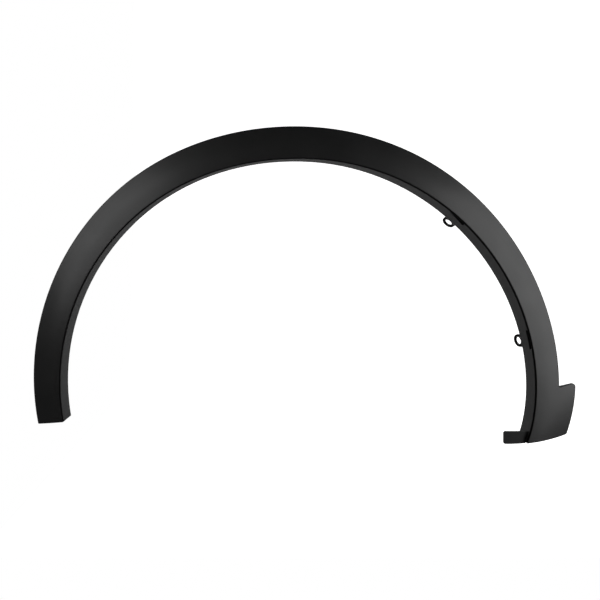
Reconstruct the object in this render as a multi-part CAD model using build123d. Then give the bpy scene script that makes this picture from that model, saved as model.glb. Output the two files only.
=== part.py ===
from build123d import *
import os
from math import atan2, cos, degrees, radians, sin, sqrt, tan

# Wheel arch trim, moulded in one piece. Millimetres, +X towards the foot, +Y into the car body, +Z up.
# The origin is the wheel axis, on the plane where the rim lies on the body panel.
# Angles are seen from the outside of the car, from +X towards +Z.

# Wall and section of the band
wall = 2.5
edge_height = 13.0
edge_round = 2.6
edge_fullness = 0.55
rim_height = 4.0
rim_round = 1.5
face_crown = 1.4
lip_depth = 40.0
seat_relief = 2.5

# Front edge of the band: a crown arc with a tangent arc on each flank, tucked in at the bottom of the foot
opening_rise = 400.8
crown_radius = 463.3
foot_flank_radius = 401.6
far_flank_radius = 385.4
foot_flank_turn = 79.4
far_flank_turn = 110.4
foot_tuck = 7.3
foot_tuck_angle = 2.0
foot_tuck_spread = 15.0

# Width of the band from its front edge to its rim: widest near the crown
band_narrow = 41.0
band_widest = 58.6
band_widest_angle = 107.3
band_foot_taper = 125.0
band_far_taper = 127.0

# Lean of the lip: slightly away from the wheel, but towards it at the two shoulders
lip_lean = -1.9
foot_shoulder_lean = 5.5
foot_shoulder_angle = 45.5
foot_shoulder_spread = 61.0
far_shoulder_lean = 3.8
far_shoulder_angle = 165.6
far_shoulder_spread = 92.0

# The plain end
far_end_angle = 187.7
far_end_tilt = 6.0
far_end_round = 2.0

# The foot: its widths run out from the front edge at the height of the wheel axis
foot_bottom_z = -95.2
foot_height = 99.3
foot_width = 72.5
foot_toe_width = 56.8
foot_bulge = 3.8
foot_blend = 32.0
foot_bottom_low_point = 47.6
foot_bottom_radius = 350.0
foot_corner_round = 6.0
step_tilt = 13.0
step_round = 1.5

# Ledge that reaches from the foot towards the wheel
ledge_length = 53.5
ledge_height = 21.2
ledge_drop = 1.0
ledge_setback = 9.0
ledge_wall = 3.0
ledge_corner_round = 3.5
gusset_depth = 24.0

# Screw eyes on the back edge of the lip, and the tool window beside each, with a closed pocket behind it
eye_angles = (11.05, 46.7)
eye_tilts = (69.0, 65.0)
eye_radius = 11.4
eye_hole_radius = 7.0
eye_offset = 7.9
eye_wall = 3.0
window_angles = (12.0, 47.0)
window_length = 34.0
window_setback = 3.2
window_low_end_depths = (11.0, 15.0)
window_high_end_depths = (9.0, 5.0)
window_round = 1.5
pocket_depth = 6.0

# Clip seats and ribs on the hidden side, evenly spaced from the foot to the plain end
first_clip_angle = -4.0
clip_pitch = 29.7
ribs_between_seats = 2
last_rib_margin = 6.0
clip_seat_length = 26.0
clip_seat_width = 20.0
clip_seat_gap = 1.5
clip_plate = 2.0
clip_slot_width = 7.0
rib_wall = 1.8
rib_gap = 3.0

# Sections and rim points that the curves run through, and how far construction runs past the finished trim
section_count = 15
rim_point_count = 13
section_overrun = 6.0
overshoot = 6.0
far_away = 150.0
crest_angle = 90.0


def unit(angle):
    """Direction of an angle as (x, z)."""
    return cos(radians(angle)), sin(radians(angle))


def swell(angle, centre, spread):
    """1 at its centre, falling smoothly to 0 at the end of its spread."""
    share = min(1.0, abs(angle - centre) / spread)
    return cos(radians(90.0 * share)) ** 2


crown_centre_z = opening_rise - crown_radius


def flank_centre(turn, radius):
    """Centre of a flank arc that leaves the crown arc without a kink."""
    x, z = unit(turn)
    back = crown_radius - radius
    return back * x, crown_centre_z + back * z


def turn_seen_from_axis(turn):
    """Angle, seen from the wheel axis, of the point where crown and flank meet."""
    x, z = unit(turn)
    return degrees(atan2(crown_centre_z + crown_radius * z, crown_radius * x))


def edge_reach(angle):
    """Distance from the wheel axis to the band's front edge."""
    centre, radius = (0.0, crown_centre_z), crown_radius
    if angle < turn_seen_from_axis(foot_flank_turn):
        centre, radius = flank_centre(foot_flank_turn, foot_flank_radius), foot_flank_radius
    if angle > turn_seen_from_axis(far_flank_turn):
        centre, radius = flank_centre(far_flank_turn, far_flank_radius), far_flank_radius
    x, z = unit(angle)
    along = centre[0] * x + centre[1] * z
    arc_reach = along + sqrt(radius**2 - centre[0] ** 2 - centre[1] ** 2 + along**2)
    return arc_reach - foot_tuck * max(0.0, (foot_tuck_angle - angle) / foot_tuck_spread) ** 2


def band_width(angle):
    """Width of the band between its front edge and its rim."""
    taper = band_foot_taper if angle < band_widest_angle else band_far_taper
    return band_narrow + (band_widest - band_narrow) * swell(angle, band_widest_angle, taper)


foot_edge_x = edge_reach(0.0)
step_angle = degrees(atan2(foot_bottom_z + foot_height, foot_edge_x + band_width(0.0)))
ledge_tip_x = foot_edge_x - ledge_length
first_section_angle = degrees(atan2(foot_bottom_z, foot_edge_x)) - section_overrun
last_section_angle = far_end_angle + section_overrun


def face_width(angle):
    """Width that the face's crown is drawn over: the band's, opening out to the foot's."""
    foot_share = swell(max(angle, step_angle), step_angle, foot_blend)
    return band_width(angle) + (foot_width - band_width(angle)) * foot_share


def lean(angle):
    """How far the lip's back edge stands inside the front edge."""
    foot_side = foot_shoulder_lean * swell(angle, foot_shoulder_angle, foot_shoulder_spread)
    far_side = far_shoulder_lean * swell(angle, far_shoulder_angle, far_shoulder_spread)
    return lip_lean + foot_side + far_side


def lip_reach(angle, y):
    """Distance from the wheel axis to the lip's wheel side at a depth y."""
    return edge_reach(angle) - lean(angle) * (y + edge_height) / (lip_depth + edge_height)


def rim_point(angle, inset=0.0):
    """Point of the rim in the front view, as (x, z)."""
    x, z = unit(angle)
    reach = edge_reach(angle) + band_width(angle) - inset
    return reach * x, reach * z


def section_plane(angle):
    """Plane through the wheel axis: its x runs outwards and its y into the body."""
    x, z = unit(angle)
    return Plane(origin=(0, 0, 0), x_dir=(x, 0, z), z_dir=(-z, 0, x))


def face_height(angle, reach):
    """Y of the crowned face at a distance from the wheel axis."""
    across = (reach - edge_reach(angle)) / face_width(angle)
    chord = -edge_height + (edge_height - rim_height) * across
    return chord - 4 * face_crown * across * (1 - across)


def face_line(angle, start, end, depth):
    """Curve of the face between two distances from the wheel axis, some depth behind its surface."""
    middle = (start + end) / 2
    start_y, middle_y, end_y = [face_height(angle, reach) + depth for reach in (start, middle, end)]
    return Bezier((start, start_y), (middle, 2 * middle_y - (start_y + end_y) / 2), (end, end_y))


def skin_section(angle):
    """Lip and face as one bent wall, with a rounded front edge."""
    edge = edge_reach(angle)
    outer = edge + face_width(angle) + overshoot
    lip_end = lip_reach(angle, lip_depth)
    lip_start_y = edge_round - edge_height
    lip = Line((lip_end, lip_depth), (lip_reach(angle, lip_start_y), lip_start_y))
    face = face_line(angle, edge + edge_round, outer, 0)
    corner = Vector(edge, -edge_height)
    handles = [end + (corner - end) * edge_fullness for end in (lip @ 1, face @ 0)]
    front_edge = Bezier(lip @ 1, *handles, face @ 0)
    front_halves = [front_edge.trim(0, 0.5), front_edge.trim(0.5, 1)]
    back = face_line(angle, edge + wall, outer, wall)
    lip_back = Line(back @ 0, (lip_end + wall, lip_depth))
    ends = [Line(face @ 1, back @ 1), Line(lip_back @ 1, lip @ 0)]
    return section_plane(angle) * make_face([lip, *front_halves, face, back, lip_back] + ends)


def backing_section(angle):
    """The space behind the skin, to just past the body panel, where it stands clear of the lip."""
    start = lip_reach(angle, -edge_height) + wall / 2
    outer = edge_reach(angle) + face_width(angle) + overshoot / 2
    face = face_line(angle, start, outer, wall / 2)
    lip_foot = (lip_reach(angle, overshoot) + wall + seat_relief, overshoot)
    back = Polyline(face @ 1, (outer, overshoot), lip_foot, face @ 0)
    return section_plane(angle) * make_face([face, back])


def wheel_side_section(angle):
    """Space on the wheel side of the middle of the lip."""
    front = -edge_height
    back = lip_depth + eye_offset + eye_radius + overshoot
    lip_front = (lip_reach(angle, front) + wall / 2, front)
    lip_back = (lip_reach(angle, back) + wall / 2, back)
    inner = edge_reach(angle) - far_away
    space = Polyline(lip_front, lip_back, (inner, back), (inner, front), close=True)
    return section_plane(angle) * make_face(space)


def through_sections(section):
    """Smooth solid through one kind of section all round the arch."""
    step = (last_section_angle - first_section_angle) / (section_count - 1)
    return loft([section(first_section_angle + step * i).face() for i in range(section_count)])


def bottom_height(x, inset=0.0):
    """Height of the foot's curved bottom edge."""
    centre_z = foot_bottom_z + foot_bottom_radius
    from_low_point = x - foot_edge_x + foot_bottom_low_point
    return centre_z - sqrt((foot_bottom_radius - inset) ** 2 - from_low_point**2)


def outline(inset=0.0):
    """Front view of the trim, filled in towards the wheel."""
    inset_angle = degrees(inset / foot_edge_x)
    first = step_angle - inset_angle
    turn = far_end_angle - inset_angle - first
    rim_angles = [first + turn * i / (rim_point_count - 1) for i in range(rim_point_count)]
    rim = Spline(*[rim_point(angle, inset) for angle in rim_angles])
    foot_corner_x = foot_edge_x + foot_width - inset
    foot_corner = (foot_corner_x, (rim @ 0).Y + (foot_corner_x - (rim @ 0).X) * tan(radians(step_tilt)))
    toe_x = foot_edge_x + foot_toe_width - inset
    toe = (toe_x, bottom_height(toe_x, inset))
    side_middle = ((foot_corner[0] + toe[0]) / 2 + foot_bulge, (foot_corner[1] + toe[1]) / 2)
    inner_x = foot_edge_x - far_away
    inner = (inner_x, bottom_height(inner_x, inset))
    bottom_middle = (foot_edge_x, bottom_height(foot_edge_x, inset))
    end_x = -inner_x
    end = (end_x, (rim @ 1).Y + (end_x - (rim @ 1).X) * tan(radians(far_end_tilt)))
    rounded = make_face([
        rim,
        Line(rim @ 1, end),
        Polyline(end, (0, 0), inner),
        ThreePointArc(inner, bottom_middle, toe),
        ThreePointArc(toe, side_middle, foot_corner),
        Line(foot_corner, rim @ 0),
    ])
    outer_corners = ((foot_corner, foot_corner_round), (toe, foot_corner_round), (rim @ 1, far_end_round))
    for corner, radius in outer_corners:
        vertex = rounded.vertices().sort_by_distance(Vector(*corner))[0]
        rounded = fillet(vertex, max(radius - inset, radius / 4))
    step_corner = rounded.vertices().sort_by_distance(rim @ 0)[0]
    return Plane.XZ * fillet(step_corner, step_round + inset)


def station_angles():
    """Evenly spaced places for clip seats and ribs, from the foot to the plain end."""
    pitch = clip_pitch / (ribs_between_seats + 1)
    turn = far_end_angle - last_rib_margin - first_clip_angle
    return [first_clip_angle + pitch * i for i in range(int(turn / pitch) + 1)]


def seat_angles():
    """Every few places hold a clip seat."""
    return station_angles()[:: ribs_between_seats + 1]


def rib_angles():
    """The other places hold a rib, apart from those beside a tool window."""
    half_window = degrees(window_length / opening_rise) / 2
    places = [angle for angle in station_angles() if angle not in seat_angles()]
    return [angle for angle in places if all(abs(angle - middle) > half_window for middle in window_angles)]


def web(angle, start, end, top_start, top):
    """Outline, in a section, of a wall from the middle of the face up to a height."""
    face = face_line(angle, start, end, wall / 2)
    return make_face([face, Polyline(face @ 1, (end, top), (top_start, top), face @ 0)])


def clip_seat(angle):
    """Open-ended tower with a keyhole slot that a retaining clip slides into."""
    reach = edge_reach(angle) + (foot_width if angle < step_angle else band_width(angle)) / 2
    start = reach - clip_seat_width / 2
    profile = web(angle, start, reach + clip_seat_width / 2, start, -clip_seat_gap)
    tower = section_plane(angle) * extrude(profile, amount=clip_seat_length / 2, both=True)
    x, z = unit(angle)
    top = Plane(origin=(reach * x, -clip_seat_gap, reach * z), x_dir=(x, 0, z), z_dir=(0, 1, 0))
    below = Align.CENTER, Align.CENTER, Align.MAX
    inside = Box(clip_seat_width - 2 * rib_wall, clip_seat_length, 2 * edge_height, align=below)
    keyhole = SlotCenterPoint((0, 0), (0, clip_seat_length), clip_slot_width)
    slot = extrude(keyhole, amount=clip_plate, both=True)
    return tower - [top * Pos(0, rib_wall, -clip_plate) * inside, top * slot]


def rib(angle):
    """Thin wall across the channel between lip and rim."""
    start = edge_reach(angle) + wall / 2
    end = edge_reach(angle) + band_width(angle) - wall / 2
    profile = web(angle, start, end, lip_reach(angle, -rib_gap) + wall / 2, -rib_gap)
    return section_plane(angle) * extrude(profile, amount=rib_wall / 2, both=True)


def screw_eye(angle, tilt):
    """Round lug that slopes in and back from the lip's back edge."""
    x, z = unit(angle)
    root = lip_reach(angle, lip_depth) + wall / 2
    along = Vector(-z, 0, x)
    slope = Vector(-x, 0, -z) * cos(radians(tilt)) + Vector(0, 1, 0) * sin(radians(tilt))
    plane = Plane(origin=(root * x, lip_depth, root * z), x_dir=along, z_dir=along.cross(slope))
    neck = Rectangle(2 * eye_radius, eye_offset + eye_radius, align=(Align.CENTER, Align.MAX))
    lug = Pos(0, eye_offset) * (Circle(eye_radius) + neck - Circle(eye_hole_radius))
    return plane * extrude(lug, amount=eye_wall / 2, both=True)


def tool_window(angle, low_end_depth, high_end_depth, margin=0.0):
    """Block that cuts the window and its pocket, or with a margin the block that the pocket is cut from."""
    x, z = unit(angle)
    front = edge_height - window_setback
    half = window_length / 2
    low_back = (-half, front - low_end_depth)
    high_back = (half, front - high_end_depth)
    window = make_face(Polyline((-half, front), low_back, high_back, (half, front), close=True))
    opening = offset(fillet(window.vertices(), window_round), margin)
    inner_reach = edge_reach(angle) - overshoot
    on_wheel_side = Plane(origin=(inner_reach * x, 0, inner_reach * z), x_dir=(-z, 0, x), z_dir=(x, 0, z))
    return on_wheel_side * extrude(opening, amount=overshoot + pocket_depth + margin)


def ledge():
    """Flat plate at the bottom of the foot, drawn from its tip to well past the lip that it stands on."""
    top_left = Pos(ledge_tip_x, foot_bottom_z + ledge_height)
    length = ledge_length + foot_toe_width
    blank = Plane.XZ * top_left * Rectangle(length, length, align=(Align.MIN, Align.MAX))
    plate = blank & outline(-ledge_drop)
    tip = plate.vertices().sort_by(Axis.X)[:2]
    return Pos(0, ledge_setback - edge_height) * extrude(fillet(tip, ledge_corner_round), amount=-ledge_wall)


def ledge_gusset():
    """Web that ties the back of the ledge to the lip, drawn to well past the lip."""
    back = ledge_setback - edge_height + ledge_wall / 2
    start = ledge_tip_x + ledge_corner_round
    end = foot_edge_x + foot_toe_width
    top = back + gusset_depth
    profile = make_face(Polyline((start, back), (end, back), (end, top), (foot_edge_x, top), close=True))
    return Pos(0, 0, foot_bottom_z + ledge_height / 2) * extrude(profile, amount=rib_wall / 2, both=True)


skin = through_sections(skin_section)
backing = split(through_sections(backing_section), Plane.XZ)
wheel_side = through_sections(wheel_side_section)

rim_wall = backing - extrude(outline(wall), amount=far_away, both=True)
sharp_band = (skin + rim_wall) & extrude(outline(), amount=far_away, both=True)
crest_x, crest_z = rim_point(crest_angle)
crest = Vector(crest_x, face_height(crest_angle, Vector(crest_x, crest_z).length), crest_z)
band = fillet(sharp_band.edges().sort_by_distance(crest)[0], rim_round)

hidden_side = [clip_seat(angle) for angle in seat_angles()] + [rib(angle) for angle in rib_angles()]
lugs = [screw_eye(*eye) for eye in zip(eye_angles, eye_tilts)] + [ledge(), ledge_gusset()]
windows = list(zip(window_angles, window_low_end_depths, window_high_end_depths))
pockets = [tool_window(*window, margin=rib_wall) - wheel_side for window in windows]
moulding = band + hidden_side + pockets + [lug & wheel_side for lug in lugs]
moulding -= [tool_window(*window) for window in windows]

os.makedirs("parts", exist_ok=True)
export_step(moulding, "parts/arch_moulding.step")
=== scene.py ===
import math

import bpy
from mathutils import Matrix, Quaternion, Vector


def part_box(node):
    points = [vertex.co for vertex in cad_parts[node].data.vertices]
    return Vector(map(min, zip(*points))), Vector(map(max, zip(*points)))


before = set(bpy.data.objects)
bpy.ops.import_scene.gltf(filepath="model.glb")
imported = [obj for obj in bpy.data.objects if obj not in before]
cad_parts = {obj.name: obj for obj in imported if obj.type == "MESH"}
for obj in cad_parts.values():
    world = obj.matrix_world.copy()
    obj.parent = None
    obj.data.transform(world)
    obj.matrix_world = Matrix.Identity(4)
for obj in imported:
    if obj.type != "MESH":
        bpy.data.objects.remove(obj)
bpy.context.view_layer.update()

# Arch moulding: the whole trim, a crowned band with a turned-in lip, a foot, a ledge and two screw eyes.
# It is injection moulded in one shot from black polypropylene and comes from the mould finished: its face is
# satin with a fine grain, its lip is duller, and its rolled front edge and screw eyes are matt, with painted
# shade, a deeper black, in their colour.
plastic_black = (0.0065, 0.0065, 0.0068, 1.0)
plastic_sheen_black = (0.0095, 0.0095, 0.0098, 1.0)
# Painted shade: the rolled front edge and the screw eyes get this deeper black in their colour, in place of
# their shadow and dark reflections.
painted_shade_black = (0.0015, 0.0015, 0.0015, 1.0)
plastic_refraction = 1.49
satin_roughness = (0.35, 0.43)
lip_roughness = 0.85
satin_shine = 0.4
matt_shine = 0.03
skin_weight = 0.25
skin_roughness = 0.2
flow_length = 0.09
flow_range = (0.3, 0.7)
grain_pitch = 0.0009
grain_height = 0.00002
grain_strength = 0.5

# Where each finish and the painted shade start and where they are full: by how squarely the surface faces
# outwards, and by its depth
front_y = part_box("arch_moulding")[0][1]
lip_depth = 0.040
lip_facing = (0.6, 0.25)
rolled_facing = (0.975, 0.93)
front_edge_depth = (front_y + 0.0054, front_y + 0.0034)
screw_eye_depth = (lip_depth + 0.0002, lip_depth + 0.0012)


def node(tree, kind, **inputs):
    """A shader node with some of its sockets set by name."""
    made = tree.nodes.new(kind)
    for socket, value in inputs.items():
        made.inputs[socket.replace("_", " ")].default_value = value
    return made


def noise(tree, place, length, detail, roughness):
    """Soft blotches about as long as the given length."""
    made = node(tree, "ShaderNodeTexNoise", Scale=1 / length, Detail=detail, Roughness=roughness)
    tree.links.new(place, made.inputs["Vector"])
    return made.outputs["Fac"]


def vector_parts(tree, vector):
    """The X, Y and Z of a vector, by name."""
    made = node(tree, "ShaderNodeSeparateXYZ")
    tree.links.new(vector, made.inputs["Vector"])
    return made.outputs


def worked_out(tree, operation, *values):
    """The result of a sum, whose values are outputs of other nodes."""
    made = node(tree, "ShaderNodeMath")
    made.operation = operation
    for value, socket in zip(values, made.inputs):
        tree.links.new(value, socket)
    return made.outputs["Value"]


def ramp(tree, value, limits=(0.0, 1.0), results=(0.0, 1.0)):
    """Goes evenly from one result to the other while a value goes from one limit to the other."""
    made = node(tree, "ShaderNodeMapRange", From_Min=limits[0], From_Max=limits[1])
    made.inputs["To Min"].default_value, made.inputs["To Max"].default_value = results
    tree.links.new(value, made.inputs["Value"])
    return made.outputs["Result"]


def colour_mix(tree, share, second):
    """A mix of two colours: its first colour's socket, and its result."""
    made = node(tree, "ShaderNodeMix")
    made.data_type = "RGBA"
    first_socket, second_socket = [socket for socket in made.inputs if socket.type == "RGBA"]
    second_socket.default_value = second
    tree.links.new(share, made.inputs["Factor"])
    return first_socket, [socket for socket in made.outputs if socket.type == "RGBA"][0]


def satin_black_plastic():
    """Black polypropylene: fine grain as bump, a sheen that drifts slowly along the flow, and painted shade,
    a deeper black, on the rolled front edge and screw eyes.
    """
    material = bpy.data.materials.new("satin_black_plastic")
    material.use_nodes = True
    tree = material.node_tree
    shader = tree.nodes["Principled BSDF"]
    shader.inputs["IOR"].default_value = plastic_refraction
    shader.inputs["Coat IOR"].default_value = plastic_refraction
    shader.inputs["Coat Roughness"].default_value = skin_roughness

    place = node(tree, "ShaderNodeTexCoord").outputs["Object"]
    depth = vector_parts(tree, place)["Y"]
    normal = node(tree, "ShaderNodeNewGeometry").outputs["Normal"]
    outward = worked_out(tree, "ABSOLUTE", vector_parts(tree, normal)["Y"])
    on_lip = ramp(tree, outward, lip_facing)
    in_front = ramp(tree, depth, front_edge_depth)
    front_edge = worked_out(tree, "MULTIPLY", in_front, ramp(tree, outward, rolled_facing))
    # The rolled front edge and the screw eyes: matt there, and painted shade in their colour.
    matt_and_painted_shade_places = worked_out(tree, "MAXIMUM", front_edge, ramp(tree, depth, screw_eye_depth))
    bare_places = worked_out(tree, "MAXIMUM", matt_and_painted_shade_places, on_lip)

    flow = noise(tree, place, flow_length, detail=3.0, roughness=0.55)
    flow_first, flow_colour = colour_mix(tree, flow, plastic_sheen_black)
    flow_first.default_value = plastic_black
    # Painted shade: the colour goes to a deeper black on the rolled front edge and the screw eyes.
    painted_shade_mix_first, colour = colour_mix(tree, matt_and_painted_shade_places, painted_shade_black)
    tree.links.new(flow_colour, painted_shade_mix_first)
    sheen = ramp(tree, flow, flow_range, satin_roughness)
    roughness = worked_out(tree, "MAXIMUM", sheen, ramp(tree, outward, lip_facing, (0.0, lip_roughness)))
    grain = noise(tree, place, grain_pitch, detail=2.0, roughness=0.5)
    relief = node(tree, "ShaderNodeBump", Strength=grain_strength, Distance=grain_height)
    tree.links.new(grain, relief.inputs["Height"])

    finishes = {
        "Base Color": colour,
        "Roughness": roughness,
        "Specular IOR Level": ramp(tree, matt_and_painted_shade_places, results=(satin_shine, matt_shine)),
        "Coat Weight": ramp(tree, bare_places, results=(skin_weight, 0.0)),
        "Normal": relief.outputs["Normal"],
    }
    for socket, finish in finishes.items():
        tree.links.new(finish, shader.inputs[socket])
    return material


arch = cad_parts["arch_moulding"]
arch.data.materials.clear()
arch.data.materials.append(satin_black_plastic())

# Backdrop: a sweep of matt white paper that lies on the floor behind the trim and turns up in a wide bend.
# It hangs to the right of the middle, where the trim's rolled front edge doesn't mirror it.
# The paper ends well above the camera's view.
floor_z = -0.45
floor_front = 0.4
bend_start = 2.0
bend_radius = 0.8
bend_steps = 24
wall_top = 3.5
paper_middle = 0.9
half_width = 1.6
paper_white = (0.9, 0.9, 0.9, 1.0)
pure_white = (1.0, 1.0, 1.0, 1.0)

profile = [(floor_front, floor_z)]
for i in range(bend_steps + 1):
    turn = math.radians(90) * i / bend_steps
    profile.append((bend_start + bend_radius * math.sin(turn), floor_z + bend_radius * (1 - math.cos(turn))))
profile.append((bend_start + bend_radius, wall_top))
corners = [(paper_middle + side * half_width, y, z) for y, z in profile for side in (-1, 1)]
strips = [(2 * i, 2 * i + 1, 2 * i + 3, 2 * i + 2) for i in range(len(profile) - 1)]
paper_mesh = bpy.data.meshes.new("backdrop")
paper_mesh.from_pydata(corners, [], strips)
paper_mesh.shade_smooth()
backdrop = bpy.data.objects.new("backdrop", paper_mesh)
bpy.context.scene.collection.objects.link(backdrop)


def white_paper():
    """Matt white paper that camera, glossy and transmission rays see as white, with the shadow left on it."""
    material = bpy.data.materials.new("white_paper")
    material.use_nodes = True
    tree = material.node_tree
    tree.nodes.remove(tree.nodes["Principled BSDF"])
    matt = node(tree, "ShaderNodeBsdfDiffuse", Color=paper_white)
    glow = node(tree, "ShaderNodeEmission", Color=pure_white)
    rays = node(tree, "ShaderNodeLightPath").outputs
    camera_or_glossy = worked_out(tree, "MAXIMUM", rays["Is Camera Ray"], rays["Is Glossy Ray"])
    seen = worked_out(tree, "MAXIMUM", camera_or_glossy, rays["Is Transmission Ray"])
    tree.links.new(seen, glow.inputs["Strength"])
    both = node(tree, "ShaderNodeAddShader")
    for layer, socket in zip((matt, glow), both.inputs):
        tree.links.new(layer.outputs[0], socket)
    tree.links.new(both.outputs["Shader"], tree.nodes["Material Output"].inputs["Surface"])
    return material


backdrop.data.materials.append(white_paper())

# Studio light: a large soft box on the foot's side, a weak one with a honeycomb grid on the far side, and
# one behind for the hidden side. The room is dim towards the camera, so that the crown and the plain end
# stay dark, and its side walls and floor are pale, so that the trim reads from other sides too.
room_grey = 0.036
wall_grey = 0.4
behind_the_trim = (0.85, 0.97)
beside_the_trim = (0.72, 0.95)
below_the_trim = (-0.5, -0.8)
open_box = 180


def soft_box(name, place, aim, width, height, strength, roll=0, grid_spread=open_box):
    """A lamp behind white cloth, rolled about its aim, with or without a grid that keeps its light narrow."""
    lamp = bpy.data.lights.new(name, "AREA")
    lamp.shape = "RECTANGLE"
    lamp.size = width
    lamp.size_y = height
    lamp.energy = strength * math.pi * width * height
    lamp.spread = math.radians(grid_spread)
    made = bpy.data.objects.new(name, lamp)
    made.visible_camera = False
    made.location = place
    turn = (Vector(aim) - Vector(place)).to_track_quat("-Z", "Y")
    made.rotation_euler = (turn @ Quaternion((0.0, 0.0, 1.0), math.radians(roll))).to_euler()
    bpy.context.scene.collection.objects.link(made)


soft_box(
    "foot_side_box", (1.36, -1.20, 0.31), (0.38, 0.0, 0.15),
    width=1.00, height=1.42, strength=3.25, roll=22,
)
soft_box(
    "far_side_box", (-1.08, -1.20, 0.72), (-0.55, 0.0, 0.42),
    width=0.90, height=0.85, strength=0.26, roll=-41, grid_spread=50,
)
soft_box("back_box", (0.0, 2.2, 1.6), (0.0, 0.0, 0.2), width=3.0, height=1.6, strength=2.5)


def studio_room():
    """White to the camera and in mirror images behind the trim, pale at the sides and below, and else dim."""
    world = bpy.data.worlds.new("studio_room")
    world.use_nodes = True
    tree = world.node_tree
    direction = vector_parts(tree, node(tree, "ShaderNodeTexCoord").outputs["Generated"])
    rays = node(tree, "ShaderNodeLightPath").outputs
    mirrored = worked_out(tree, "MAXIMUM", rays["Is Glossy Ray"], rays["Is Transmission Ray"])
    behind = ramp(tree, direction["Y"], behind_the_trim)
    mirrored_behind = worked_out(tree, "MULTIPLY", mirrored, behind)
    white = worked_out(tree, "MAXIMUM", rays["Is Camera Ray"], mirrored_behind)
    side_walls = ramp(tree, worked_out(tree, "ABSOLUTE", direction["X"]), beside_the_trim)
    floor = ramp(tree, direction["Z"], below_the_trim)
    pale = worked_out(tree, "MAXIMUM", side_walls, floor)
    walls = ramp(tree, pale, results=(room_grey, wall_grey))
    background = tree.nodes["Background"]
    background.inputs["Color"].default_value = pure_white
    tree.links.new(worked_out(tree, "MAXIMUM", white, walls), background.inputs["Strength"])
    return world


bpy.context.scene.world = studio_room()
bpy.context.scene.view_settings.view_transform = "Standard"

# Camera: level, square to the trim and a little left of the wheel axis, as the photograph was taken.
# Its film is shifted so that the trim sits where the photograph has it.
frame_pixels = 600.0
metres_per_pixel = 0.00175
camera_distance = 1.4
straight_ahead = (254.5, 247.5)
wheel_axis = (297.5, 388.5)

camera_data = bpy.data.cameras.new("camera")
camera_data.sensor_width = 36.0
camera_data.lens = camera_data.sensor_width * camera_distance / (metres_per_pixel * frame_pixels)
camera_data.shift_x = 0.5 - straight_ahead[0] / frame_pixels
camera_data.shift_y = straight_ahead[1] / frame_pixels - 0.5
camera = bpy.data.objects.new("camera", camera_data)
camera.location = (
    (straight_ahead[0] - wheel_axis[0]) * metres_per_pixel,
    -camera_distance,
    (wheel_axis[1] - straight_ahead[1]) * metres_per_pixel,
)
camera.rotation_euler = (math.radians(90), 0.0, 0.0)
bpy.context.scene.collection.objects.link(camera)
bpy.context.scene.camera = camera
